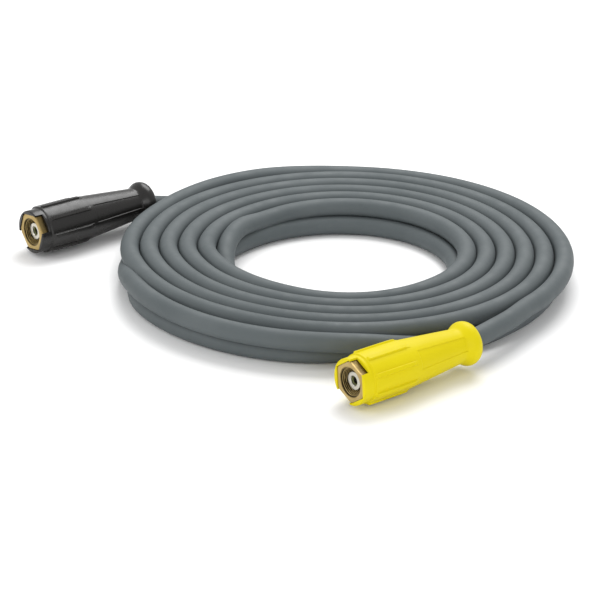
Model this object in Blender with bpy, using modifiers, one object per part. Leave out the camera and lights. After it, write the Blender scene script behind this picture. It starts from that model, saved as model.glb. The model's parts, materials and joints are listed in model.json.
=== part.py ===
import math

import bmesh
import bpy
from mathutils import Vector

# Driving sizes, in metres
HOSE_R = 0.0075
TURN_PITCH = 0.0152
TURNS = 6
EYE_R = 0.0888
LAYER_RISE = 0.013
AXIS_OUT = 0.006
AXIS_Z = 0.0205
YELLOW_FRONT_X = -0.1483
BLACK_FRONT_X = -0.1746

GRIP_LENGTH = 0.1145
CUFF_R = 0.0176
CUFF_LENGTH = 0.0095
BODY_R = 0.0187
BODY_END = 0.044
WAIST_R = 0.0133
WAIST_AT = 0.0995
BELL_R = 0.0168
BELL_AT = 0.1083
BELL_EDGE = 0.0038
FLARE_AT = 0.080
FLARE_POWER = 1.6
MOUTH_R = 0.0122
SHOULDER = 0.0067
RIBS = 8
RIB_SHIFT = math.radians(5)
RIB_R = 0.0201
RIB_WIDTH = 0.0052
RIB_START = 0.0110
RIB_END = 0.042
RIB_ROOT = 0.0012
OPEN_ANGLE = math.radians(26.5)
EDGE = 0.0008
CHANNEL_ROOM = 0.0016
CHANNEL_PAST = 0.013

NUT_FLATS = 0.028
NUT_LENGTH = 0.021
THREAD_R = 0.0102
THREAD_DEPTH = 0.0145
FACE_INSET = 0.0008
NOSE_R = 0.0070
NOSE_INSET = 0.0040
COLLAR_R = 0.0093
COLLAR_WIDTH = 0.0020
WATERWAY_R = 0.0035
BARB_R = 0.0044
FERRULE_R = 0.0104
FERRULE_START = 0.030
FERRULE_END = 0.062
GAP = 0.0003
PAST = 0.01

YELLOW_TURN = math.radians(-25)
BLACK_TURN = math.radians(-50)
ROUND_STEPS = 40
COIL_STEPS = 56
TAIL_STEP = 0.008

# Where each tail runs after its coupling: along X, and how far in and down from the coupling's axis
YELLOW_ROUTE = [
    (-0.095, 0, 0), (-0.072, 0, 0), (-0.054, 0.0002, 0), (-0.037, 0.0012, 0), (-0.020, 0.0036, 0),
    (-0.004, 0.0070, 0), (0.009, 0.0099, 0),
]
BLACK_ROUTE = [
    (-0.125, 0, 0), (-0.109, 0, 0), (-0.096, 0, 0.0001), (-0.084, 0, 0.0005), (-0.075, 0, 0.0011),
    (-0.066, 0, 0.0024), (-0.057, 0, 0.0044), (-0.047, 0, 0.0071), (-0.035, 0, 0.0098),
    (-0.020, 0, 0.0118), (-0.004, 0.0005, 0.0127), (0.014, 0.0021, 0.0129),
    (0.0317, 0.0062, 0.0129), (0.047, 0.0122, 0.0129), (0.0604, 0.0201, 0.0129),
]

COIL_OUTER_R = EYE_R + TURNS * TURN_PITCH
TOP_Z = HOSE_R + LAYER_RISE
AXIS_Y = COIL_OUTER_R + AXIS_OUT

for old in list(bpy.data.objects):
    bpy.data.objects.remove(old, do_unlink=True)

scene = bpy.context.scene
hose_set = bpy.data.collections.new("pressure_hose")
scene.collection.children.link(hose_set)
cutter_set = bpy.data.collections.new("cutters")
scene.collection.children.link(cutter_set)


def material(name, colour, metallic, roughness):
    made = bpy.data.materials.new(name)
    made.use_nodes = True
    shader = made.node_tree.nodes["Principled BSDF"]
    shader.inputs["Base Color"].default_value = (*colour, 1)
    shader.inputs["Metallic"].default_value = metallic
    shader.inputs["Roughness"].default_value = roughness
    return made


HOSE_GREY = material("hose_grey_rubber", (0.135, 0.155, 0.16), 0, 0.55)
YELLOW = material("grip_yellow_plastic", (0.86, 0.77, 0.02), 0, 0.35)
BLACK = material("grip_black_plastic", (0.03, 0.028, 0.026), 0, 0.45)
BRASS = material("nut_brass", (0.62, 0.47, 0.2), 1, 0.32)
NICKEL = material("nipple_nickel", (0.66, 0.64, 0.58), 1, 0.28)
STEEL = material("ferrule_steel", (0.55, 0.55, 0.55), 1, 0.35)


def place(obj, parent, turn):
    obj.parent = parent
    obj.rotation_euler = (0, 0, turn)
    return obj


def add(name, mesh, mat=None):
    obj = bpy.data.objects.new(name, mesh)
    if mat:
        mesh.materials.append(mat)
        hose_set.objects.link(obj)
    else:
        cutter_set.objects.link(obj)
        obj.hide_render = True
        obj.display_type = "WIRE"
    return obj


def turned(name, profile, steps, mat=None):
    """A closed outline of (radius, height) points turned about the Z axis."""
    mesh = bpy.data.meshes.new(name)
    count = len(profile)
    edges = [(i, (i + 1) % count) for i in range(count)]
    mesh.from_pydata([(r, 0, z) for r, z in profile], edges, [])
    obj = add(name, mesh, mat)
    screw = obj.modifiers.new("turn", "SCREW")
    screw.axis = "Z"
    screw.angle = math.tau
    screw.steps = steps
    screw.render_steps = steps
    screw.use_merge_vertices = True
    screw.merge_threshold = 0.00001
    return obj


def prism(name, outline, low, high, mat=None):
    """A flat outline of (x, y) points, counter-clockwise, carried from one height to another."""
    made = bmesh.new()
    bottom = [made.verts.new((x, y, low)) for x, y in outline]
    top = [made.verts.new((x, y, high)) for x, y in outline]
    made.faces.new(bottom[::-1])
    made.faces.new(top)
    count = len(outline)
    for i in range(count):
        j = (i + 1) % count
        made.faces.new((bottom[i], bottom[j], top[j], top[i]))
    mesh = bpy.data.meshes.new(name)
    made.to_mesh(mesh)
    made.free()
    return add(name, mesh, mat)


def boolean(obj, other, operation):
    step = obj.modifiers.new(other.name, "BOOLEAN")
    step.operation = operation
    step.solver = "EXACT"
    step.object = other


def polygon(sides, radius, first=0.0):
    spots = [first + math.tau * i / sides for i in range(sides)]
    return [(radius * math.cos(a), radius * math.sin(a)) for a in spots]


# The coil, one turned solid whose turns show on both faces
def coil_outline(grow):
    """Six turns over six, seen in section, from the outer side round to the bore."""
    r = HOSE_R + grow
    centres = [COIL_OUTER_R - TURN_PITCH * (k + 0.5) for k in range(TURNS)]
    waist = math.asin(LAYER_RISE / 2 / r)
    top_angles = [20, 55, 90, 125, 160]
    points = []
    outer, inner = centres[0], centres[-1]
    for centre in centres:
        angles = [math.radians(a) for a in top_angles]
        if centre == outer:
            angles[0] = 0
        if centre == inner:
            angles[-1] = math.pi
        points += [(centre + r * math.cos(a), TOP_Z + r * math.sin(a)) for a in angles]
    points.append((inner - r * math.cos(waist), HOSE_R + LAYER_RISE / 2))
    for centre in reversed(centres):
        left = math.radians(180 if centre == inner else 200)
        right = math.radians(0 if centre == outer else -20)
        flat = r * 0.25
        shoulder = math.radians(50)
        points.append((centre + r * math.cos(left), HOSE_R + r * math.sin(left)))
        points.append((centre - r * math.cos(shoulder), HOSE_R - r * math.sin(shoulder)))
        points.append((centre - flat, -grow))
        points.append((centre + flat, -grow))
        points.append((centre + r * math.cos(shoulder), HOSE_R - r * math.sin(shoulder)))
        points.append((centre + r * math.cos(right), HOSE_R + r * math.sin(right)))
    points.append((outer + r * math.cos(waist), HOSE_R + LAYER_RISE / 2))
    return points[::-1]


coil = turned("hose_coil", coil_outline(0), COIL_STEPS, HOSE_GREY)
coil_keepout = turned("coil_keepout", coil_outline(GAP), COIL_STEPS)


# The couplings, each about its own axis with its front at the origin and its bell below
def axis_empty(name, front_x, side):
    spot = bpy.data.objects.new(name, None)
    hose_set.objects.link(spot)
    spot.location = (front_x, side * AXIS_Y, AXIS_Z)
    spot.rotation_euler = (0, -math.pi / 2, 0)
    return spot


def swept(near, far, steps):
    """Points from one (radius, depth) to another, the radius easing out and in as a cosine does."""
    points = []
    for i in range(1, steps + 1):
        t = i / steps
        share = (1 - math.cos(math.pi * t)) / 2
        points.append((near[0] + (far[0] - near[0]) * share, -near[1] - (far[1] - near[1]) * t))
    return points


def sleeve_outline():
    """The hand grip in section: cuff, body, taper and bell outside, and its bore inside, which is
    stepped for the ferrule and opens towards the bell."""
    hose_bore = HOSE_R + GAP
    ferrule_bore = FERRULE_R + GAP
    outside = [(CUFF_R - EDGE, 0), (CUFF_R, -EDGE), (CUFF_R, -CUFF_LENGTH)]
    outside += [(BODY_R, -CUFF_LENGTH - EDGE), (BODY_R, -BODY_END), (WAIST_R, -WAIST_AT)]
    outside += swept((WAIST_R, WAIST_AT), (BELL_R, BELL_AT), 4)
    outside += [
        (BELL_R - EDGE, -(BELL_AT + GRIP_LENGTH) / 2),
        (BELL_R - BELL_EDGE, -GRIP_LENGTH),
    ]
    open_by, flare_length = MOUTH_R - hose_bore, GRIP_LENGTH - FLARE_AT
    inside = []
    for share in (1, 0.8, 0.6, 0.4, 0.2, 0):
        inside.append((hose_bore + open_by * share ** FLARE_POWER, -FLARE_AT - flare_length * share))
    inside += [
        (hose_bore, -FERRULE_END - (ferrule_bore - hose_bore)),
        (ferrule_bore, -FERRULE_END - GAP),
        (ferrule_bore, 0),
    ]
    return outside + inside


def ribs(name):
    """The long ribs round the front of the grip, as one toothed ring."""
    made = bmesh.new()
    deep = BODY_R - RIB_ROOT
    for k in range(RIBS):
        a = math.tau * k / RIBS + RIB_SHIFT
        c, s = math.cos(a), math.sin(a)
        half = RIB_WIDTH / 2
        ring = [(deep, -half), (RIB_R, -half * 0.8), (RIB_R, half * 0.8), (deep, half)]
        ring = [(x * c - y * s, x * s + y * c) for x, y in ring]
        low = [made.verts.new((x, y, -RIB_END)) for x, y in ring]
        high = [made.verts.new((x, y, -RIB_START)) for x, y in ring]
        made.faces.new(low[::-1])
        made.faces.new(high)
        for i in range(4):
            j = (i + 1) % 4
            made.faces.new((low[i], low[j], high[j], high[i]))
    mesh = bpy.data.meshes.new(name)
    made.to_mesh(mesh)
    made.free()
    return add(name, mesh)


def coupling(colour, empty, turn, mat):
    across = NUT_FLATS / 2 / math.cos(math.pi / 6)
    socket_r = (NUT_FLATS / 2 + GAP) / math.cos(math.pi / 6)
    corner = math.pi / 6
    sleeve = turned(colour + "_grip", sleeve_outline(), ROUND_STEPS, mat)
    socket_floor = -FACE_INSET - NUT_LENGTH - GAP
    rib_set = place(ribs(colour + "_rib_cutter"), empty, turn)
    socket = prism(colour + "_socket_cutter", polygon(6, socket_r, corner), socket_floor, PAST)
    place(socket, empty, turn)
    boolean(sleeve, rib_set, "UNION")
    boolean(sleeve, socket, "DIFFERENCE")
    reach = BODY_R + PAST
    lip = reach * math.tan(OPEN_ANGLE)
    for n, back in enumerate((0, math.pi)):
        c, s = math.cos(back), math.sin(back)
        wedge = [(0, 0), (reach, -lip), (reach, lip)]
        wedge = [(x * c - y * s, x * s + y * c) for x, y in wedge]
        gap = prism(f"{colour}_gap_cutter_{n}", wedge, -SHOULDER, PAST)
        place(gap, empty, turn)
        boolean(sleeve, gap, "DIFFERENCE")
    place(sleeve, empty, turn)

    nut_back = -FACE_INSET - NUT_LENGTH
    nut = prism(colour + "_nut", polygon(6, across, corner), nut_back, -FACE_INSET, BRASS)
    neck_r = NOSE_R + GAP
    bore = turned(
        colour + "_nut_bore_cutter",
        [
            (0, PAST),
            (THREAD_R, PAST),
            (THREAD_R, -FACE_INSET - THREAD_DEPTH),
            (neck_r, -FACE_INSET - THREAD_DEPTH),
            (neck_r, nut_back - PAST),
            (0, nut_back - PAST),
        ],
        ROUND_STEPS,
    )
    place(bore, empty, turn)
    boolean(nut, bore, "DIFFERENCE")
    place(nut, empty, turn)

    collar_back = -FACE_INSET - THREAD_DEPTH + GAP
    nipple = turned(
        colour + "_nipple",
        [
            (NOSE_R - EDGE, -NOSE_INSET),
            (NOSE_R, -NOSE_INSET - EDGE),
            (NOSE_R, collar_back + COLLAR_WIDTH + EDGE),
            (COLLAR_R, collar_back + COLLAR_WIDTH),
            (COLLAR_R, collar_back),
            (NOSE_R, collar_back),
            (NOSE_R, -FERRULE_START + GAP),
            (BARB_R, -FERRULE_START + GAP),
            (BARB_R, -FERRULE_END),
            (WATERWAY_R, -FERRULE_END),
            (WATERWAY_R, -NOSE_INSET),
        ],
        ROUND_STEPS,
        NICKEL,
    )
    place(nipple, empty, turn)
    ferrule = turned(
        colour + "_ferrule",
        [
            (FERRULE_R - EDGE, -FERRULE_START),
            (FERRULE_R, -FERRULE_START - EDGE),
            (FERRULE_R, -FERRULE_END),
            (HOSE_R + GAP, -FERRULE_END),
            (HOSE_R + GAP, -FERRULE_START),
        ],
        ROUND_STEPS,
        STEEL,
    )
    place(ferrule, empty, turn)


# The tails, from inside each ferrule through the points of their route onto the coil
def smooth_points(keys):
    """Points about TAIL_STEP apart on a smooth curve through all the keys."""
    first, last = 2 * keys[0] - keys[1], 2 * keys[-1] - keys[-2]
    spots = [first, *keys, last]
    points = []
    for before, here, there, after in zip(spots, spots[1:], spots[2:], spots[3:]):
        pieces = max(1, round((there - here).length / TAIL_STEP))
        for i in range(pieces):
            t = i / pieces
            points.append((
                2 * here + (there - before) * t
                + (2 * before - 5 * here + 4 * there - after) * t * t
                + (3 * here - before - 3 * there + after) * t ** 3
            ) / 2)
    return points + [keys[-1]]


def tail(name, front_x, side, route):
    start = (front_x + FERRULE_START + 2 * GAP, 0, 0)
    keys = [Vector((x, side * (AXIS_Y - inward), AXIS_Z - down)) for x, inward, down in [start, *route]]
    points = smooth_points(keys)
    curve = bpy.data.curves.new(name, "CURVE")
    curve.dimensions = "3D"
    spline = curve.splines.new("POLY")
    spline.points.add(len(points) - 1)
    for spot, point in zip(spline.points, points):
        spot.co = (*point, 1)
    curve.bevel_depth = HOSE_R
    curve.bevel_resolution = 3
    curve.use_fill_caps = True
    line = bpy.data.objects.new(name + "_line", curve)
    scene.collection.objects.link(line)
    graph = bpy.context.evaluated_depsgraph_get()
    mesh = bpy.data.meshes.new_from_object(line.evaluated_get(graph))
    bpy.data.objects.remove(line)
    joined = bmesh.new()
    joined.from_mesh(mesh)
    bmesh.ops.remove_doubles(joined, verts=joined.verts, dist=0.000001)
    bmesh.ops.recalc_face_normals(joined, faces=joined.faces)
    joined.to_mesh(mesh)
    joined.free()
    mesh.materials.clear()
    obj = add(name, mesh, HOSE_GREY)
    boolean(obj, coil_keepout, "DIFFERENCE")
    return obj


yellow_axis = axis_empty("yellow_swivel_axis", YELLOW_FRONT_X, -1)
black_axis = axis_empty("black_swivel_axis", BLACK_FRONT_X, 1)
coupling("yellow", yellow_axis, YELLOW_TURN, YELLOW)
coupling("black", black_axis, BLACK_TURN, BLACK)

for side_name, front, side, axis, route in (
    ("yellow", YELLOW_FRONT_X, -1, yellow_axis, YELLOW_ROUTE),
    ("black", BLACK_FRONT_X, 1, black_axis, BLACK_ROUTE),
):
    hose_end = tail("hose_tail_" + side_name, front, side, route)
    shank_room = turned(
        side_name + "_shank_cutter",
        [
            (0, -FERRULE_START + PAST),
            (BARB_R + GAP, -FERRULE_START + PAST),
            (BARB_R + GAP, -FERRULE_END - GAP),
            (0, -FERRULE_END - GAP),
        ],
        ROUND_STEPS,
    )
    place(shank_room, axis, 0)
    boolean(hose_end, shank_room, "DIFFERENCE")

# Room beside the coil's outer turn for the bell of the yellow grip
channel_ring = polygon(ROUND_STEPS, BELL_R + CHANNEL_ROOM)
channel = prism("channel_cutter", channel_ring, -GRIP_LENGTH - CHANNEL_PAST, 0)
place(channel, yellow_axis, 0)
boolean(coil, channel, "DIFFERENCE")
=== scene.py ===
import json
import math

import bpy
import numpy as np
from mathutils import Matrix


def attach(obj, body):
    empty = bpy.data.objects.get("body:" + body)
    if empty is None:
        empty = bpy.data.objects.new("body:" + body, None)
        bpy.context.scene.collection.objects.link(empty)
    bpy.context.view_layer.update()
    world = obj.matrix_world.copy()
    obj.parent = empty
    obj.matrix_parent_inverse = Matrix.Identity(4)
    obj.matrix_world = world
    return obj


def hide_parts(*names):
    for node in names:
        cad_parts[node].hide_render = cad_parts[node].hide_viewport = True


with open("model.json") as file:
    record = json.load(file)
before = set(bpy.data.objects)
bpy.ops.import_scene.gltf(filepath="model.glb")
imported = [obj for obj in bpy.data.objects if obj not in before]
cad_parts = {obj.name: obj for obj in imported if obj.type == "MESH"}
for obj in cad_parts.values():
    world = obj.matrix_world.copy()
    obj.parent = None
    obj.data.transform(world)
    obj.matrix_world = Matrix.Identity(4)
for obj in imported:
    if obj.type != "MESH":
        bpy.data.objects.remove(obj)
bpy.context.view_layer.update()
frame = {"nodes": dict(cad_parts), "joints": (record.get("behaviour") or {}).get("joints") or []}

# Driving sizes of the hose, in metres
HOSE_R = 0.0075
TURN_PITCH = 0.0152
TURNS = 6
FLOOR_Z = HOSE_R
TOP_Z = HOSE_R + 0.013
FIRST_TOP_R = 0.0948
FIRST_LOW_R = 0.0876
RING_STEP = 0.005
HOSE_SIDES = 24

# Driving sizes of a coupling, along its axis from its front
GRIP_LENGTH = 0.1145
CUFF_R = 0.0176
CUFF_LENGTH = 0.0095
BODY_R = 0.0187
BODY_END = 0.044
TAPER_BLEND = 0.06
WAIST_R = 0.0133
WAIST_AT = 0.0995
BELL_R = 0.0168
BELL_AT = 0.1083
FLARE_AT = 0.080
FLARE_POWER = 1.6
BORE_STEP = 0.003
MOUTH_R = 0.0122
MOUTH_EDGE = 0.0006
SHOULDER = 0.0067
RIBS = 8
RIB_SHIFT = math.radians(5)
RIB_R = 0.0201
RIB_WIDTH = 0.0038
RIB_START = 0.0106
RIB_END = 0.0472
RIB_SLOPE = 0.0006
RIB_RISE = 0.0012
RIB_FALL = 0.0008
SERRATION_PITCH = 0.0022
SERRATION_DEPTH = 0.00012
SERRATION_SLANT = 0.9
PANEL_START = 0.0535
PANEL_END = 0.1015
PANEL_HALF = math.radians(25)
PANEL_DEPTH = 0.0006
PANEL_SLOPE = 0.03
PANEL_END_SLOPE = 0.0007
OPEN_ANGLE = math.radians(26.5)
FINGER_SOFTNESS = 0.008
FRONT_SWEEP = 0.0022
EDGE = 0.0008
NUT_FLATS = 0.028
NUT_LENGTH = 0.021
NUT_TIP_SHARE = 1.09
THREAD_R = 0.0102
THREAD_HEIGHT = 0.0011
THREAD_MOUTH_R = 0.0115
THREAD_PITCH = 0.0015
THREAD_DEPTH = 0.0145
THREAD_START = 0.0008
THREAD_LEAD = 0.0005
ROWS_PER_THREAD = 10
CORNER_CHAMFER = math.radians(60)
FACE_INSET = 0.0008
NOSE_R = 0.0070
NOSE_INSET = 0.0040
COLLAR_R = 0.0093
COLLAR_WIDTH = 0.0020
WATERWAY_R = 0.0035
WATERWAY_EDGE = 0.0006
NOSE_LIP = 0.0007
SEAL_R = 0.0006
SEAL_INSET = 0.0021
BARB_R = 0.0044
FERRULE_R = 0.0104
FERRULE_START = 0.030
FERRULE_END = 0.062
GAP = 0.0003

YELLOW_TURN = math.radians(-25)
BLACK_TURN = math.radians(-50)
YELLOW_PANEL = math.radians(-37)
BLACK_PANEL = math.radians(-12)

# The camera, on a line that lies this far round from the row's -Y axis
PHOTO_TURN = math.radians(-39.5)
CAMERA_OUT = 2.0
CAMERA_UP = 0.8613
FOCAL_PIXELS = 2746.03
PHOTO_WIDTH = 600
SENSOR = 36
TILT = math.radians(23.8004)
PAN = math.radians(-1.0288)
ROLL = math.radians(0.4495)


def make_camera():
    """A camera that looks down by TILT, aside by PAN and leans by ROLL, turned about the coil's axis."""
    ahead = np.array([math.sin(PAN) * math.cos(TILT), math.cos(PAN) * math.cos(TILT), -math.sin(TILT)])
    level = np.array([math.cos(PAN), -math.sin(PAN), 0])
    upward = np.cross(level, ahead)
    right = level * math.cos(ROLL) + upward * math.sin(ROLL)
    up = upward * math.cos(ROLL) - level * math.sin(ROLL)
    pose = Matrix.Identity(4)
    for row in range(3):
        pose[row][0], pose[row][1], pose[row][2] = right[row], up[row], -ahead[row]
    pose[1][3] = -CAMERA_OUT
    pose[2][3] = CAMERA_UP
    data = bpy.data.cameras.new("photo_camera")
    data.sensor_width = SENSOR
    data.lens = FOCAL_PIXELS * SENSOR / PHOTO_WIDTH
    camera = bpy.data.objects.new("photo_camera", data)
    bpy.context.scene.collection.objects.link(camera)
    camera.matrix_world = Matrix.Rotation(PHOTO_TURN, 4, "Z") @ pose
    bpy.context.scene.camera = camera


# The hose's route, from the black coupling to the yellow one. In the coil a point is (angle, radius,
# height): the angle is in degrees, clockwise from above, and counts the turns. Radius and height are in mm.
BLACK_TAIL = [
    (-144.0, 186.0, 20.5), (-125.0, 186.0, 20.5), (-109.0, 186.0, 20.5), (-96.0, 186.0, 20.4),
    (-84.0, 186.0, 20.0), (-75.0, 186.0, 19.4), (-66.0, 186.0, 18.1), (-57.0, 186.0, 16.1),
    (-47.0, 186.0, 13.4), (-35.0, 186.0, 10.7), (-20.0, 186.0, 8.7), (-4.0, 185.5, 7.8),
]
YELLOW_TAIL = [
    (19.1, -173.4, 20.5), (9.0, -176.1, 20.5), (-4.0, -179.0, 20.5), (-20.0, -182.4, 20.5),
    (-37.0, -184.8, 20.5), (-54.0, -185.8, 20.5), (-72.0, -186.0, 20.5), (-95.0, -186.0, 20.5),
    (-117.7, -186.0, 20.5),
]
FIRST_LOW_TURN = [
    (-80, 182.6, 7.5), (-70, 176.5, 7.5), (-60, 168.5, 7.5), (-50.5, 163.5, 7.5), (-35, 162.4, 7.5),
    (-15, 162.4, 7.5), (10, 162.4, 7.5), (39.5, 162.6, 7.5), (63, 162.0, 7.5), (80, 161.4, 7.5),
    (92, 162.6, 7.6), (104, 164.0, 9.4), (114, 166.2, 14.2), (123, 168.8, 18.6), (133, 171.2, 20.6),
    (147, 173.6, 21.0), (162, 175.4, 21.0), (175, 176.4, 21.0), (187, 176.2, 20.6),
    (196, 175.4, 19.4), (204, 174.4, 16.6), (212, 172.6, 12.2), (220, 171.0, 8.6), (230, 170.0, 7.5),
    (250, 170.2, 7.5), (266, 169.8, 7.5), (282, 164.6, 7.5), (296, 154.8, 7.5), (309.5, 148.8, 7.5),
]
SECOND_LOW_TURN = [
    (325, 147.6, 7.5), (345, 147.8, 7.5), (370, 148.4, 7.5), (399.5, 148.8, 7.5), (430, 148.0, 7.5),
    (455, 147.2, 7.5), (468, 148.2, 7.5), (479, 152.0, 7.5), (489, 158.0, 7.5), (498, 163.2, 7.5),
    (510, 167.2, 7.5), (522, 169.6, 7.5), (535, 171.6, 7.5), (546, 172.8, 7.5), (556, 172.4, 7.5),
    (565, 167.4, 7.5), (573, 160.4, 7.5), (581, 155.2, 7.5), (595, 153.2, 7.5), (615, 151.6, 7.5),
    (632, 147.6, 7.5), (650, 139.0, 7.5),
]
LOW_WANDER = [
    (0, 1.8), (30, 1.2), (90, 0), (120, -1.0), (150, -2.6), (180, -4.4), (210, 0.5), (240, 7.2),
    (255, 6.7), (270, 3.2), (285, -1.8), (300, -6.3), (330, -11.3), (360, -13.4),
]
CLIMB = [
    (1929.5, 83.2, 7.5), (1944.5, 85.2, 7.5), (1959.5, 88.4, 7.5), (1974.5, 91.8, 7.5),
    (1989.5, 94.6, 7.8), (2004.5, 95.2, 10.6), (2019.5, 95.4, 15.2), (2034.5, 96.4, 19.4),
    (2049.5, 97.5, 21.0),
]
TOP_WANDER = [
    (0, 0), (30, 2.7), (60, 2.5), (90, 1.8), (120, 1.4), (150, 1.2), (180, 0.8), (210, -0.4),
    (240, -2.4), (270, -4.4), (300, -2.2), (330, 5.6), (360, 15.2),
]
LAST_TOP_TURN = [
    (3819.5, 171.0, 21.0), (3834, 172.6, 20.7), (3849, 173.2, 20.5), (3861, 175.2, 20.5),
    (3872, 175.9, 21.1), (3885, 173.6, 22.0), (3897, 170.6, 21.6), (3909.5, 169.6, 20.7),
    (3925, 170.0, 20.5), (3939.5, 171.0, 20.5), (3955, 172.0, 20.5), (3969.5, 172.6, 20.5),
    (3990, 172.4, 20.5), (4010, 171.8, 20.5), (4024, 171.0, 20.5), (4037, 170.6, 20.5),
]
TOP_START = 2019.5
LOW_START = 669.5
KEY_STEP = 15
KEY_ROOM = 8
TOP_SAG = 2.6
TOP_HUMP = 1.3
SAMPLE_STEP = 6.0


def flow(keys, at):
    """A smooth curve through (place, value) keys: cubic pieces whose slope at a key is that of the
    straight line between its neighbours."""
    x, y = (np.array(v, float) for v in zip(*keys))
    slope = np.empty_like(y)
    slope[1:-1] = (y[2:] - y[:-2]) / (x[2:] - x[:-2])
    slope[0] = (y[1] - y[0]) / (x[1] - x[0])
    slope[-1] = (y[-1] - y[-2]) / (x[-1] - x[-2])
    i = np.clip(np.searchsorted(x, at, side="right") - 1, 0, len(x) - 2)
    width = x[i + 1] - x[i]
    t = (at - x[i]) / width
    a = y[i] * (1 + 2 * t) * (1 - t) ** 2 + slope[i] * width * t * (1 - t) ** 2
    b = y[i + 1] * t * t * (3 - 2 * t) + slope[i + 1] * width * t * t * (t - 1)
    return a + b


def coil_keys():
    """All the places of the coil in order: the lower layer inwards, then the upper one outwards. A turn
    is a circle plus its layer's wander. The upper turns sag by a squared cosine at the front and behind
    the left, each by half as much as the one inside it, and hump by a squared cosine at the left."""
    keys = FIRST_LOW_TURN + SECOND_LOW_TURN
    steps = np.arange(0, 360, KEY_STEP)
    for turn in range(TURNS - 2):
        base = FIRST_LOW_R * 1000 + (TURNS - 3 - turn) * TURN_PITCH * 1000
        for step in steps:
            angle = LOW_START + 360 * turn + step
            if angle < CLIMB[0][0] - KEY_ROOM:
                keys.append((angle, base + flow(LOW_WANDER, step), FLOOR_Z * 1000))
    keys += CLIMB
    for turn in range(TURNS - 1):
        base = FIRST_TOP_R * 1000 + turn * TURN_PITCH * 1000
        for step in steps:
            angle = TOP_START + 360 * turn + step
            if angle < CLIMB[-1][0] + KEY_ROOM:
                continue
            sag = TOP_SAG * 0.5 ** turn * max(0, math.cos(math.radians((step - 270) * 1.5))) ** 2
            from_left = abs((step + 180) % 360 - 180)
            hump = TOP_HUMP * max(0, math.cos(math.radians(from_left * 1.8))) ** 2
            keys.append((angle, base + flow(TOP_WANDER, step), TOP_Z * 1000 - sag + hump))
    return keys + LAST_TOP_TURN


def hose_route():
    """Points RING_STEP apart along the hose: the coil's angle, radius and height flow through their
    keys, the tails' points are joined to them, and a smooth curve of length runs through them all."""
    keys = coil_keys()
    angle = np.arange(keys[0][0], keys[-1][0], SAMPLE_STEP)
    radius = flow([(k[0], k[1]) for k in keys], angle)
    height = flow([(k[0], k[2]) for k in keys], angle)
    turned = np.radians(angle)
    coil = np.stack([radius * np.cos(turned), -radius * np.sin(turned), height], 1)
    points = np.concatenate([BLACK_TAIL, coil, YELLOW_TAIL]) / 1000
    for _ in range(2):
        along = np.concatenate([[0], np.cumsum(np.linalg.norm(np.diff(points, axis=0), axis=1))])
        rings = round(along[-1] / RING_STEP) + 1
        at = np.linspace(0, along[-1], rings)
        points = np.stack([flow(list(zip(along, points[:, n])), at) for n in range(3)], 1)
    points[:, 2] = np.maximum(points[:, 2], FLOOR_Z)
    return points


# Meshes
def unit(v):
    """Each vector divided by its own length."""
    return v / np.linalg.norm(v, axis=-1, keepdims=True)


def grid_mesh(name, points, loop_rows, cap_ends=False, uv=None, sharp=None, deep=None):
    """A mesh from a grid of points, rows by columns. Its columns close on themselves, and its rows do
    where loop_rows is true. The faces look along the cross product of the row and column directions.
    uv has a value for each row and one for each column and its end, and deep is a grid of values that
    a material reads, to paint shade onto metal or to stipple a panel."""
    rows, columns = points.shape[:2]
    r = np.arange(rows if loop_rows else rows - 1)[:, None]
    c = np.arange(columns)[None, :]
    r2, c2 = (r + 1) % rows, (c + 1) % columns
    quads = np.stack([r * columns + c, r2 * columns + c, r2 * columns + c2, r * columns + c2], -1)
    quads = quads.reshape(-1, 4)
    spots = points.reshape(-1, 3)
    corners = quads.reshape(-1)
    sizes = np.full(len(quads), 4)
    if cap_ends:
        first, last = np.arange(columns), (rows - 1) * columns + np.arange(columns)[::-1]
        corners = np.concatenate([corners, first, last])
        sizes = np.concatenate([sizes, [columns, columns]])
    mesh = bpy.data.meshes.new(name)
    mesh.vertices.add(len(spots))
    mesh.vertices.foreach_set("co", spots.reshape(-1).astype(np.float32))
    mesh.loops.add(len(corners))
    mesh.loops.foreach_set("vertex_index", corners.astype(np.int32))
    mesh.polygons.add(len(sizes))
    mesh.polygons.foreach_set("loop_start", (np.cumsum(sizes) - sizes).astype(np.int32))
    mesh.update(calc_edges=True)
    mesh.validate()
    if uv is not None:
        layer = mesh.uv_layers.new(name="along")
        u, v = uv
        down = np.stack([u[r], u[r2], u[r2], u[r]], -1) + np.zeros((1, columns, 1))
        across = np.stack([v[c], v[c], v[c + 1], v[c + 1]], -1) + np.zeros((len(r), 1, 1))
        pairs = np.stack([down, across], -1).reshape(-1, 2)
        if cap_ends:
            pairs = np.concatenate([pairs, np.zeros((2 * columns, 2))])
        layer.data.foreach_set("uv", pairs.reshape(-1).astype(np.float32))
    # deep carries painted shade for the metal parts and the stipple for the plastic panel.
    if deep is not None:
        layer = mesh.attributes.new("deep", "FLOAT", "POINT")
        layer.data.foreach_set("value", deep.reshape(-1).astype(np.float32))
    mesh.shade_smooth()
    if sharp:
        mesh.set_sharp_from_angle(angle=math.radians(sharp))
    return mesh


def add_piece(name, mesh, mat, body, slot_name, *nodes):
    """An object at the origin that rides on a body, with its material and the nodes that it replaces.
    slot_name is not used.
    """
    obj = bpy.data.objects.new(name, mesh)
    bpy.context.scene.collection.objects.link(obj)
    mesh.materials.append(mat)
    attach(obj, body)
    if nodes:
        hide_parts(*nodes)
    return obj


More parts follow.
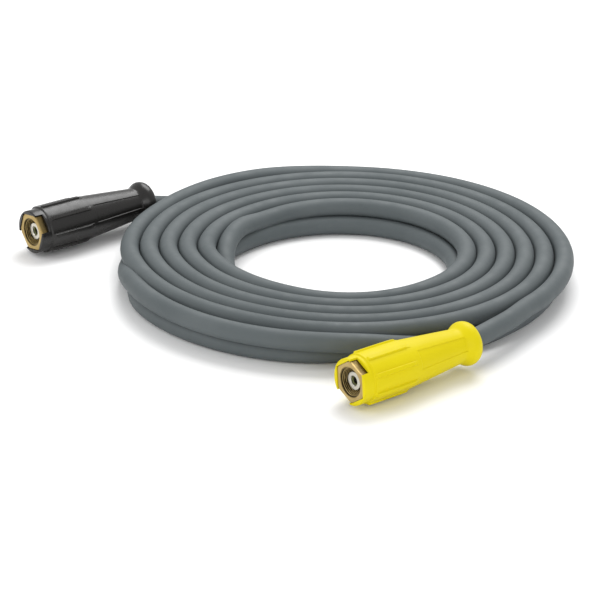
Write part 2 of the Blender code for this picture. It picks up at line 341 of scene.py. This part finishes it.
def make_hose(mat):
    """A circle of HOSE_R carried along the route, square to it and with its first point always aside."""
    path = hose_route()
    ahead = unit(np.gradient(path, axis=0))
    aside = unit(np.cross(ahead, [0, 0, 1]))
    upward = np.cross(aside, ahead)
    turn = np.linspace(0, math.tau, HOSE_SIDES, endpoint=False)
    ring = (np.cos(turn)[None, :, None] * aside[:, None] + np.sin(turn)[None, :, None] * upward[:, None])
    points = path[:, None] + HOSE_R * ring
    along = np.arange(len(path)) * RING_STEP
    mesh = grid_mesh("hose", points[:, ::-1], False, cap_ends=True,
                     uv=(along, np.linspace(0, 1, HOSE_SIDES + 1)), sharp=60)
    hose = add_piece("hose", mesh, mat, "hose", "hose_rubber",
                     "hose_coil", "hose_tail_yellow", "hose_tail_black")
    length = float(np.linalg.norm(np.diff(path, axis=0), axis=1).sum())
    return hose, path, length


# The couplings: worked out about their own axis, front at the origin and bell below, then laid in place
def lay_in_place(points, joint, turn):
    """The coupling's own Z runs out of the hose along the row's -X, and its X stands up."""
    x, y, z = points[..., 0], points[..., 1], points[..., 2]
    across = x * math.cos(turn) - y * math.sin(turn)
    beside = x * math.sin(turn) + y * math.cos(turn)
    front = joint["pos_m"]
    return np.stack([front[0] - z, front[1] + beside, front[2] + across], -1)


def ease(t):
    """From 0 to 1 as a cosine does."""
    return (1 - np.cos(np.pi * np.clip(t, 0, 1))) / 2


def off_rib(angle):
    """How far round an angle lies from the nearest rib's middle."""
    step = math.tau / RIBS
    return (angle - RIB_SHIFT + step / 2) % step - step / 2


def hexagon(angle, flats):
    """The radius of a hexagon with a flat at angle 0, as wide across its flats as given."""
    step = math.tau / 6
    return flats / 2 / np.cos((angle + step / 2) % step - step / 2)


def in_gap(angle, soft):
    """1 in the two gaps between the fingers, 0 on the fingers, and a short slope between."""
    away = np.abs((angle + math.pi / 2) % math.pi - math.pi / 2)
    return ease((OPEN_ANGLE + soft - away) / (2 * soft))


def body_radius(depth):
    """The smooth outside: cuff, body, a straight taper to the waist that begins as a hyperbola does, a
    short flare to the bell that eases as a cosine does, and the bell's end as a quarter of an ellipse."""
    radius = CUFF_R + (BODY_R - CUFF_R) * ease((depth - CUFF_LENGTH) / EDGE)
    taper = (depth - BODY_END) / (WAIST_AT - BODY_END)
    taper = np.minimum((taper + np.sqrt(taper ** 2 + TAPER_BLEND ** 2)) / 2, 1)
    radius = radius + (WAIST_R - BODY_R) * taper
    radius = radius + (BELL_R - WAIST_R) * ease((depth - WAIST_AT) / (BELL_AT - WAIST_AT))
    past = np.clip((depth - BELL_AT) / (GRIP_LENGTH - BELL_AT), 0, 1)
    return radius - (BELL_R - MOUTH_R - EDGE) * (1 - np.sqrt(1 - past ** 2))


def in_panel(angle, depth, middle):
    """1 on the shallow bare panel behind the ribs, 0 off it, and a short slope between."""
    away = np.abs((angle - middle + math.pi) % math.tau - math.pi)
    along = ease((depth - PANEL_START) / PANEL_END_SLOPE) * ease((PANEL_END - depth) / PANEL_END_SLOPE)
    return along * ease((PANEL_HALF - away) / PANEL_SLOPE)


def make_grip(name, mat, body, slot_name, joint, turn, panel_at):
    """A closed outline carried round the axis. Its outer side is the body's radius plus the ribs, whose
    tops are cut by slanting grooves, and less the panel at the angle panel_at. Its front stands at 0
    on the fingers and SHOULDER deep in the gaps, and its inside is the nut's six-sided socket and then
    the bore, which opens towards the bell by a power of the distance."""
    soft = FINGER_SOFTNESS
    half = RIB_WIDTH / 2 / RIB_R
    slope = RIB_SLOPE / RIB_R
    near_rib = np.array([-half - 0.02, -half, -half + slope * 0.3, -half + slope * 0.7, -half + slope])
    near_rib = np.concatenate([near_rib, [0], -near_rib[::-1]])
    angles = [math.tau * k / RIBS + RIB_SHIFT + near_rib for k in range(RIBS)]
    near_panel = PANEL_HALF - PANEL_SLOPE * np.array([-0.4, 0, 0.33, 0.67, 1, 1.4])
    angles += [panel_at - near_panel, panel_at + near_panel]
    edge = OPEN_ANGLE + soft * np.array([-1.3, -1, -0.5, 0, 0.5, 1, 1.3])
    for centre in (0, math.pi):
        angles += [centre + edge, centre - edge]
    angles += [np.arange(0, math.tau, math.tau / 72), math.pi / 6 + np.arange(6) * math.tau / 6]
    angle = np.unique(np.round(np.concatenate(angles) % math.tau, 5))
    gap = in_gap(angle, soft)
    front = gap * SHOULDER

    # Outside, from the bell's end to the front
    past = np.sin(np.linspace(np.pi / 2, 0, 9))
    bell = BELL_AT + (GRIP_LENGTH - BELL_AT) * past
    near_end = PANEL_END_SLOPE * np.array([-0.3, 0, 0.5, 1, 1.3])
    sweep = np.concatenate([np.linspace(BELL_AT, RIB_END + 0.003, 40)[1:], PANEL_START + near_end,
                            PANEL_END - near_end, [BODY_END, WAIST_AT]])
    sweep = np.unique(np.round(sweep, 6))[::-1]
    sweep_end = SHOULDER + FRONT_SWEEP
    rib_rows = np.linspace(RIB_END + 0.002, sweep_end, 96)
    depth = np.concatenate([bell, sweep, rib_rows])[:, None] + 0 * angle
    lip = np.linspace(0, 1, 5)
    near_front = sweep_end + (front + EDGE - sweep_end) * lip[1:, None]
    depth = np.concatenate([depth, near_front])
    off = np.abs(off_rib(angle)) * RIB_R
    across = ease((RIB_WIDTH / 2 - off) / (slope * RIB_R))
    ends = ease((depth - RIB_START) / RIB_RISE) * ease((RIB_END - depth) / RIB_FALL)
    slant = off_rib(angle) * RIB_R * SERRATION_SLANT
    groove = 0.5 + 0.5 * np.sin(math.tau * (depth + slant) / SERRATION_PITCH)
    radius = body_radius(depth) + across * ends * (RIB_R - BODY_R - SERRATION_DEPTH * groove)
    panel = in_panel(angle, depth, panel_at)
    radius = radius - PANEL_DEPTH * panel
    round_over = np.linspace(0, np.pi / 2, 4)[1:, None]
    edge_depth = front + EDGE * (1 - np.sin(round_over))
    edge_radius = CUFF_R - EDGE * (1 - np.cos(round_over)) + 0 * angle

    # Front face, socket, ledge and bore
    socket = hexagon(angle, NUT_FLATS + 2 * GAP)
    floor = FACE_INSET + NUT_LENGTH + GAP
    bore_start = FERRULE_END + BORE_STEP
    bore = [FERRULE_R + GAP, FERRULE_R + GAP, HOSE_R + GAP, HOSE_R + GAP]
    bore_depth = [floor, FERRULE_END + GAP, bore_start, FLARE_AT]
    flare = np.linspace(0, 1, 14)[1:]
    bore += list(HOSE_R + GAP + (MOUTH_R - HOSE_R - GAP) * flare ** FLARE_POWER)
    bore_depth += list(FLARE_AT + (GRIP_LENGTH - MOUTH_EDGE - FLARE_AT) * flare)
    inner_radius = np.array(bore)[:, None] + 0 * angle
    inner_depth = np.array(bore_depth)[:, None] + 0 * angle
    face_radius = np.stack([socket + EDGE * 0.3, socket, socket])
    face_depth = np.stack([front, front + EDGE * 0.3, floor + 0 * angle])
    end_radius = np.full((1, len(angle)), MOUTH_R + EDGE * 0.45)
    end_depth = np.full((1, len(angle)), GRIP_LENGTH)

    radius = np.concatenate([radius, edge_radius, face_radius, inner_radius, end_radius])
    depth = np.concatenate([depth, edge_depth, face_depth, inner_depth, end_depth])
    points = np.stack([radius * np.cos(angle), radius * np.sin(angle), -depth], -1)
    points = lay_in_place(points, joint, turn)[:, ::-1]
    panel = np.concatenate([panel, np.zeros((len(depth) - len(panel), len(angle)))])
    mesh = grid_mesh(name, points, True, sharp=38, deep=panel[:, ::-1])
    return add_piece(name, mesh, mat, body, slot_name, name.replace("_sleeve", "_grip"))


def make_nut(name, mat, body, joint, turn):
    """A hexagon whose corners' tips are turned down at both ends, and in it a screw thread: a groove
    whose depth rises and falls with the distance along the axis plus the share of a turn. The groove
    and the sides behind the front get painted shade, carried as deep."""
    angle = np.unique(np.round(np.concatenate([
        np.linspace(0, math.tau, 96, endpoint=False), math.pi / 6 + np.arange(6) * math.tau / 6]), 5))
    flat = hexagon(angle, NUT_FLATS)
    front, back = FACE_INSET, FACE_INSET + NUT_LENGTH
    near_end = np.array([0, 0.0003, 0.0006, 0.0010, 0.0016])
    depth = np.concatenate([back - near_end, front + near_end[::-1]])
    distance = np.minimum(depth - front, back - depth)[:, None]
    radius = np.minimum(flat, NUT_FLATS / 2 * NUT_TIP_SHARE + distance * math.tan(CORNER_CHAMFER))
    rows = int(THREAD_DEPTH / THREAD_PITCH * ROWS_PER_THREAD)
    deep = np.linspace(THREAD_START, THREAD_DEPTH, rows)[:, None]
    turns = deep / THREAD_PITCH + angle / math.tau
    wave = np.abs((turns % 1) * 2 - 1)
    thread = THREAD_R + THREAD_HEIGHT * np.clip(wave * 1.3 - 0.15, 0, 1)
    mouth = np.array([[THREAD_MOUTH_R], [THREAD_R + THREAD_HEIGHT + 0.0001]]) + 0 * angle
    mouth_deep = np.array([[0], [THREAD_LEAD]]) + 0 * angle
    neck = np.array([[NOSE_R + GAP], [NOSE_R + GAP]]) + 0 * angle
    neck_deep = np.array([[front + THREAD_DEPTH], [back]]) + 0 * angle
    # Painted shade, carried as deep: six tenths of the way to near black on the nut's sides behind the
    # front, half at the back of the mouth, and in full in the thread's grooves and on the neck.
    sides = 0.6 * ease((depth[:, None] - front - 0.0006) / 0.001) + 0 * angle
    painted_shade = np.concatenate([sides, 0 * mouth + [[0], [0.5]], np.clip(wave * 3 - 0.5, 0, 1),
                             0 * neck + 1])
    radius = np.concatenate([radius, mouth, thread, neck])
    depth = np.concatenate([depth[:, None] + 0 * angle, front + mouth_deep, front + deep + 0 * angle,
                            neck_deep])
    points = np.stack([radius * np.cos(angle), radius * np.sin(angle), -depth], -1)
    points = lay_in_place(points, joint, turn)[:, ::-1]
    mesh = grid_mesh(name, points, True, sharp=34, deep=painted_shade[:, ::-1])
    return add_piece(name, mesh, mat, body, "nut_brass", name.replace("_union", ""))


def turned(name, outline, joint, mat, body, slot_name, *nodes, sides=72, sharp=34, deep=None):
    """A closed outline of (radius, depth) points turned about the coupling's axis. deep gives the share
    of painted shade at each point of the outline."""
    outline = np.array(outline)
    angle = np.linspace(0, math.tau, sides, endpoint=False)
    radius, depth = outline[:, 0:1], outline[:, 1:2] + 0 * angle
    points = np.stack([radius * np.cos(angle), radius * np.sin(angle), -depth], -1)
    if deep is not None:
        deep = np.array(deep)[:, None] + 0 * angle
    mesh = grid_mesh(name, lay_in_place(points, joint, 0)[:, ::-1], True, sharp=sharp, deep=deep)
    return add_piece(name, mesh, mat, body, slot_name, *nodes)


def arc(radius, depth, size, start, end, steps=5):
    """Points on a rounded edge, angles in degrees: 0 is outwards and 90 is towards the front."""
    turn = np.radians(np.linspace(start, end, steps))
    return [(radius + size * math.cos(t), depth - size * math.sin(t)) for t in turn]


def make_nipple(colour, mat, joint):
    """The nose with its rounded lip, the collar behind the thread, and the shank in the hose. What lies
    behind the nose gets painted shade, carried as deep."""
    collar_back = FACE_INSET + THREAD_DEPTH - GAP
    outline = [(WATERWAY_R, FERRULE_END), (BARB_R, FERRULE_END), (BARB_R, FERRULE_START - GAP)]
    outline += [(NOSE_R, FERRULE_START - GAP), (NOSE_R, collar_back), (COLLAR_R, collar_back)]
    outline += [(COLLAR_R, collar_back - COLLAR_WIDTH), (NOSE_R, collar_back - COLLAR_WIDTH - EDGE)]
    outline += arc(NOSE_R - NOSE_LIP, NOSE_INSET + NOSE_LIP, NOSE_LIP, 0, 90)
    outline += [(WATERWAY_R + WATERWAY_EDGE, NOSE_INSET), (WATERWAY_R, NOSE_INSET + WATERWAY_EDGE)]
    nose_end = collar_back - COLLAR_WIDTH - EDGE - 0.001
    # Painted shade in full on everything behind the nose.
    painted_shade = [float(depth > nose_end) for _, depth in outline]
    return turned(colour + "_hose_nipple", outline, joint, mat, "hose", "nipple_nickel",
                  colour + "_nipple", deep=painted_shade)


def make_seal(colour, mat, joint):
    """A ring of round section in the waterway's mouth."""
    section = arc(WATERWAY_R - 0.0001, NOSE_INSET + SEAL_INSET, SEAL_R, 0, 337.5, 16)
    return turned(colour + "_seal_ring", section, joint, mat, "hose", "hose_rubber", sides=48, sharp=80)


# Materials
def new_material(name, colour, roughness, metallic=0.0, **more):
    """A material, its node tree and its shader, whose other inputs are given by name."""
    made = bpy.data.materials.new(name)
    made.use_nodes = True
    shader = made.node_tree.nodes["Principled BSDF"]
    shader.inputs["Base Color"].default_value = (*colour, 1)
    shader.inputs["Roughness"].default_value = roughness
    shader.inputs["Metallic"].default_value = metallic
    for socket, value in more.items():
        shader.inputs[socket.replace("_", " ")].default_value = value
    return made, made.node_tree, shader


def node(tree, kind, links=(), **values):
    """A node with its settings, and its inputs linked to the sockets given."""
    made = tree.nodes.new(kind)
    for key, value in values.items():
        setattr(made, key, value)
    for name, source in dict(links).items():
        if isinstance(source, bpy.types.NodeSocket):
            tree.links.new(source, made.inputs[name])
        else:
            made.inputs[name].default_value = source
    return made


def noise(tree, place, scale, detail=3.0, roughness=0.5):
    """Soft noise from 0 to 1, finer as scale rises."""
    links = {"Vector": place, "Scale": scale, "Detail": detail, "Roughness": roughness}
    return node(tree, "ShaderNodeTexNoise", links).outputs["Fac"]


def ramp(tree, source, low, high, first, second):
    """Two colours, with a smooth change between two values of the source."""
    made = node(tree, "ShaderNodeMapRange", {"Value": source, "From Min": low, "From Max": high})
    mix = node(tree, "ShaderNodeMix", {"Factor": made.outputs[0]}, data_type="RGBA")
    mix.inputs["A"].default_value = (*first, 1)
    mix.inputs["B"].default_value = (*second, 1)
    return mix.outputs["Result"]


def spread(tree, source, low, high, least, most):
    """The source carried in a straight line from low and high to least and most."""
    links = {"Value": source, "From Min": low, "From Max": high, "To Min": least, "To Max": most}
    return node(tree, "ShaderNodeMapRange", links).outputs[0]


def bump(tree, shader, height, distance, strength=1.0):
    """Relief in the shading: the height times a distance in metres."""
    links = {"Height": height, "Distance": distance, "Strength": strength}
    made = node(tree, "ShaderNodeBump", links)
    tree.links.new(made.outputs["Normal"], shader.inputs["Normal"])


def hose_rubber():
    """Blue-grey rubber: faint cloth-wrap marks across the hose, soft scuffs and a satin skin."""
    made, tree, shader = new_material("blue_grey_hose_rubber", (0.089, 0.104, 0.108), 0.6,
                                      Specular_IOR_Level=0.28)
    uv = node(tree, "ShaderNodeUVMap", uv_map="along").outputs[0]
    place = node(tree, "ShaderNodeTexCoord").outputs["Object"]
    cloud = noise(tree, place, 24, 4)
    tree.links.new(ramp(tree, cloud, 0.3, 0.7, (0.080, 0.094, 0.098), (0.098, 0.113, 0.117)),
                   shader.inputs["Base Color"])
    tree.links.new(spread(tree, noise(tree, place, 90, 5), 0.3, 0.7, 0.52, 0.68),
                   shader.inputs["Roughness"])
    stretch = node(tree, "ShaderNodeMapping", {"Vector": uv, "Scale": (1, 0.012, 1)}).outputs[0]
    wraps = noise(tree, stretch, 420, 2)
    bump(tree, shader, wraps, 0.00012, 0.5)
    return made


def moulded(name, low, high, roughness, grain, shine, stipple):
    """Moulded plastic: a fine grain, a slow drift of colour, a gloss that varies a little, and a
    coarser stipple in the panel where the mesh says deep."""
    made, tree, shader = new_material(name, high, roughness, Specular_IOR_Level=shine)
    place = node(tree, "ShaderNodeTexCoord").outputs["Object"]
    tree.links.new(ramp(tree, noise(tree, place, 18, 3), 0.3, 0.7, low, high),
                   shader.inputs["Base Color"])
    tree.links.new(spread(tree, noise(tree, place, 160, 4), 0.3, 0.7, roughness - 0.05, roughness + 0.06),
                   shader.inputs["Roughness"])
    deep = node(tree, "ShaderNodeAttribute", attribute_name="deep").outputs["Fac"]
    dots = noise(tree, place, 900, 1)
    dots = node(tree, "ShaderNodeMath", {0: dots, 1: deep}, operation="MULTIPLY")
    coarse = node(tree, "ShaderNodeMath", {0: dots.outputs[0], 1: stipple}, operation="MULTIPLY")
    both = node(tree, "ShaderNodeMath", {0: noise(tree, place, 1500, 2), 1: coarse.outputs[0]})
    bump(tree, shader, both.outputs[0], grain, 0.6)
    return made


def machined(name, low, high, roughness):
    """Turned metal: fine rings along the axis, a slow drift of colour, small differences in gloss, and
    painted shade, near black, where the mesh says deep."""
    made, tree, shader = new_material(name, high, roughness, 1.0)
    place = node(tree, "ShaderNodeTexCoord").outputs["Object"]
    skin = ramp(tree, noise(tree, place, 60, 4), 0.35, 0.65, low, high)
    # Painted shade: where the mesh says deep, the colour goes towards near black in place of the shade and
    # dark reflections there.
    deep = node(tree, "ShaderNodeAttribute", attribute_name="deep").outputs["Fac"]
    painted_shade_mix = node(tree, "ShaderNodeMix", {"Factor": deep}, data_type="RGBA")
    tree.links.new(skin, painted_shade_mix.inputs["A"])
    painted_shade_mix.inputs["B"].default_value = (0.008, 0.006, 0.004, 1)
    tree.links.new(painted_shade_mix.outputs["Result"], shader.inputs["Base Color"])
    tree.links.new(spread(tree, noise(tree, place, 300, 3), 0.3, 0.7, roughness - 0.06, roughness + 0.08),
                   shader.inputs["Roughness"])
    along = node(tree, "ShaderNodeMapping", {"Vector": place, "Scale": (1, 0.05, 0.05)}).outputs[0]
    bump(tree, shader, noise(tree, along, 2600, 2), 0.00003, 0.5)
    return made


def ring_rubber():
    """Olive rubber with a fine mottle."""
    made, tree, shader = new_material("seal_ring_rubber", (0.10, 0.11, 0.025), 0.5)
    place = node(tree, "ShaderNodeTexCoord").outputs["Object"]
    tree.links.new(ramp(tree, noise(tree, place, 700, 2), 0.3, 0.7, (0.07, 0.08, 0.018), (0.13, 0.14, 0.03)),
                   shader.inputs["Base Color"])
    return made


def studio():
    """A white floor under a white room, a large soft lamp behind and above, and two weaker ones from
    the left and from the front."""
    scene = bpy.context.scene
    scene.view_settings.view_transform = "Standard"
    reach = 6.0
    corners = [(-reach, -reach, 0), (reach, -reach, 0), (reach, reach, 0), (-reach, reach, 0)]
    floor_mesh = bpy.data.meshes.new("floor")
    floor_mesh.from_pydata(corners, [], [(0, 1, 2, 3)])
    floor = bpy.data.objects.new("floor", floor_mesh)
    scene.collection.objects.link(floor)
    floor_mesh.materials.append(new_material("white_floor", (0.9, 0.9, 0.9), 0.9)[0])
    world = bpy.data.worlds.new("white_room")
    scene.world = world
    world.use_nodes = True
    background = world.node_tree.nodes["Background"]
    background.inputs["Color"].default_value = (1, 1, 1, 1)
    background.inputs["Strength"].default_value = 0.76
    lamps = (
        ("overhead", (0.2, 0.9, 1.4), 25, 1.2),
        ("left_lamp", (-1.6, -0.5, 0.9), 7, 1.0),
        ("front_fill", (0.3, -1.7, 0.45), 7.5, 1.0),
    )
    for name, spot, power, size in lamps:
        data = bpy.data.lights.new(name, "AREA")
        data.energy = power
        data.size = size
        lamp = bpy.data.objects.new(name, data)
        scene.collection.objects.link(lamp)
        aim = Matrix.Rotation(PHOTO_TURN, 4, "Z") @ Matrix.Translation(spot)
        lamp.location = aim.translation
        lamp.rotation_euler = (-lamp.location).to_track_quat("-Z", "Y").to_euler()


make_camera()
RUBBER = hose_rubber()
YELLOW = moulded("bright_yellow_plastic", (0.63, 0.52, 0.002), (0.68, 0.575, 0.003), 0.48,
                 grain=0.00002, shine=0.13, stipple=1)
BLACK = moulded("warm_black_plastic", (0.007, 0.0065, 0.006), (0.011, 0.010, 0.009), 0.3,
                grain=0.00003, shine=0.42, stipple=7)
BRASS = machined("turned_brass", (0.38, 0.27, 0.10), (0.50, 0.38, 0.165), 0.42)
NICKEL = machined("nickel_plate", (0.46, 0.44, 0.38), (0.58, 0.55, 0.48), 0.32)
STEEL = machined("zinc_plate", (0.45, 0.45, 0.46), (0.6, 0.6, 0.6), 0.35)
SEAL = ring_rubber()

hose, path, length = make_hose(RUBBER)
joints = {joint["name"]: joint for joint in frame["joints"]}
for colour, plastic, turn, panel_at in (
    ("yellow", YELLOW, YELLOW_TURN, YELLOW_PANEL),
    ("black", BLACK, BLACK_TURN, BLACK_PANEL),
):
    joint = joints[colour + "_swivel"]
    coupling = colour + "_coupling"
    slot_name = colour + "_plastic"
    make_grip(colour + "_sleeve", plastic, coupling, slot_name, joint, turn, panel_at)
    make_nut(colour + "_union_nut", BRASS, coupling, joint, turn)
    make_nipple(colour, NICKEL, joint)
    make_seal(colour, SEAL, joint)
    ferrule = frame["nodes"][colour + "_ferrule"]
    if not ferrule.material_slots:
        ferrule.data.materials.append(STEEL)
    for holder in ferrule.material_slots:
        holder.material = STEEL

studio()
